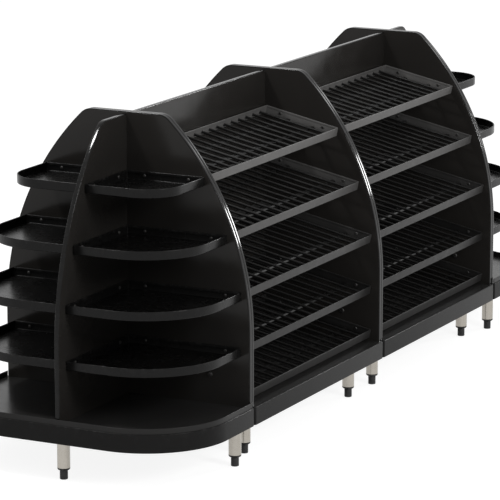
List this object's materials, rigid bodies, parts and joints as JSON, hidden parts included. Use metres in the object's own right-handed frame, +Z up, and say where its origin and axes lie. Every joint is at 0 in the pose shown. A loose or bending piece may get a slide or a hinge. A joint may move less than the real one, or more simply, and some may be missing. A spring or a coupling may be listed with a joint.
{
  "type": "bakery bread rack",
  "caption": "Double-sided island bread rack: beehive end panels, slatted falling shelves, round-cornered end-cap trays, skirted base on levelling legs.",
  "frame": {"origin": "on the floor under the joint between the two bays, on the rack's centre line, at the height of the feet's soles", "axes": "+X along the rack from the near cap to the far cap, +Y across it, +Z up"},
  "size_m": [3.1576, 0.992, 1.1985],
  "materials": {
    "black_board": "board faced and edged in satin black",
    "black_steel": "satin black powder coat on sheet and rod",
    "leg_steel": "satin nickel-plated tube",
    "black_plastic": "dark moulded nylon",
    "dark_fastener": "black oxide steel"
  },
  "bodies": {
    "rack": {"near_cap_panel": "black_board", "near_cap_fin": "black_board", "far_cap_panel": "black_board", "far_cap_fin": "black_board", "bay_a_left_panel": "black_board", "bay_a_right_panel": "black_board", "bay_a_divider": "black_board", "bay_b_left_panel": "black_board", "bay_b_right_panel": "black_board", "bay_b_divider": "black_board", "near_cap_trays_1": "black_steel", "near_cap_trays_2": "black_steel", "near_cap_trays_3": "black_steel", "near_cap_trays_4": "black_steel", "far_cap_trays_1": "black_steel", "far_cap_trays_2": "black_steel", "far_cap_trays_3": "black_steel", "far_cap_trays_4": "black_steel", "bay_a_front_shelf_1": "black_steel", "bay_a_front_shelf_2": "black_steel", "bay_a_front_shelf_3": "black_steel", "bay_a_front_shelf_4": "black_steel", "bay_a_back_shelf_1": "black_steel", "bay_a_back_shelf_2": "black_steel", "bay_a_back_shelf_3": "black_steel", "bay_a_back_shelf_4": "black_steel", "bay_b_front_shelf_1": "black_steel", "bay_b_front_shelf_2": "black_steel", "bay_b_front_shelf_3": "black_steel", "bay_b_front_shelf_4": "black_steel", "bay_b_back_shelf_1": "black_steel", "bay_b_back_shelf_2": "black_steel", "bay_b_back_shelf_3": "black_steel", "bay_b_back_shelf_4": "black_steel", "bay_slatted_decks": "black_steel", "near_cap_base_pan": "black_steel", "far_cap_base_pan": "black_steel", "bay_base_pans": "black_steel", "near_cap_skirt": "black_steel", "far_cap_skirt": "black_steel", "bay_skirts": "black_steel", "leg_tubes": "leg_steel", "leg_inserts": "black_plastic", "shelf_screws": "dark_fastener", "joint_bolts": "dark_fastener", "leg_bolts": "dark_fastener"},
    "near_cap_fin_leveller": {"near_cap_fin_foot": "black_plastic"},
    "near_cap_front_leveller": {"near_cap_front_foot": "black_plastic"},
    "near_cap_back_leveller": {"near_cap_back_foot": "black_plastic"},
    "far_cap_fin_leveller": {"far_cap_fin_foot": "black_plastic"},
    "far_cap_back_leveller": {"far_cap_back_foot": "black_plastic"},
    "far_cap_front_leveller": {"far_cap_front_foot": "black_plastic"},
    "bay_a_left_front_leveller": {"bay_a_left_front_foot": "black_plastic"},
    "bay_a_left_back_leveller": {"bay_a_left_back_foot": "black_plastic"},
    "bay_a_right_front_leveller": {"bay_a_right_front_foot": "black_plastic"},
    "bay_a_right_back_leveller": {"bay_a_right_back_foot": "black_plastic"},
    "bay_b_left_front_leveller": {"bay_b_left_front_foot": "black_plastic"},
    "bay_b_left_back_leveller": {"bay_b_left_back_foot": "black_plastic"},
    "bay_b_right_front_leveller": {"bay_b_right_front_foot": "black_plastic"},
    "bay_b_right_back_leveller": {"bay_b_right_back_foot": "black_plastic"}
  },
  "joints": [
    {"name": "near_cap_fin_level", "type": "slide", "parent": "rack", "child": "near_cap_fin_leveller", "axis": [0, 0, -1], "range_m": [0, 0.025]},
    {"name": "near_cap_front_level", "type": "slide", "parent": "rack", "child": "near_cap_front_leveller", "axis": [0, 0, -1], "range_m": [0, 0.025]},
    {"name": "near_cap_back_level", "type": "slide", "parent": "rack", "child": "near_cap_back_leveller", "axis": [0, 0, -1], "range_m": [0, 0.025]},
    {"name": "far_cap_fin_level", "type": "slide", "parent": "rack", "child": "far_cap_fin_leveller", "axis": [0, 0, -1], "range_m": [0, 0.025]},
    {"name": "far_cap_back_level", "type": "slide", "parent": "rack", "child": "far_cap_back_leveller", "axis": [0, 0, -1], "range_m": [0, 0.025]},
    {"name": "far_cap_front_level", "type": "slide", "parent": "rack", "child": "far_cap_front_leveller", "axis": [0, 0, -1], "range_m": [0, 0.025]},
    {"name": "bay_a_left_front_level", "type": "slide", "parent": "rack", "child": "bay_a_left_front_leveller", "axis": [0, 0, -1], "range_m": [0, 0.025]},
    {"name": "bay_a_left_back_level", "type": "slide", "parent": "rack", "child": "bay_a_left_back_leveller", "axis": [0, 0, -1], "range_m": [0, 0.025]},
    {"name": "bay_a_right_front_level", "type": "slide", "parent": "rack", "child": "bay_a_right_front_leveller", "axis": [0, 0, -1], "range_m": [0, 0.025]},
    {"name": "bay_a_right_back_level", "type": "slide", "parent": "rack", "child": "bay_a_right_back_leveller", "axis": [0, 0, -1], "range_m": [0, 0.025]},
    {"name": "bay_b_left_front_level", "type": "slide", "parent": "rack", "child": "bay_b_left_front_leveller", "axis": [0, 0, -1], "range_m": [0, 0.025]},
    {"name": "bay_b_left_back_level", "type": "slide", "parent": "rack", "child": "bay_b_left_back_leveller", "axis": [0, 0, -1], "range_m": [0, 0.025]},
    {"name": "bay_b_right_front_level", "type": "slide", "parent": "rack", "child": "bay_b_right_front_leveller", "axis": [0, 0, -1], "range_m": [0, 0.025]},
    {"name": "bay_b_right_back_level", "type": "slide", "parent": "rack", "child": "bay_b_right_back_leveller", "axis": [0, 0, -1], "range_m": [0, 0.025]}
  ]
}
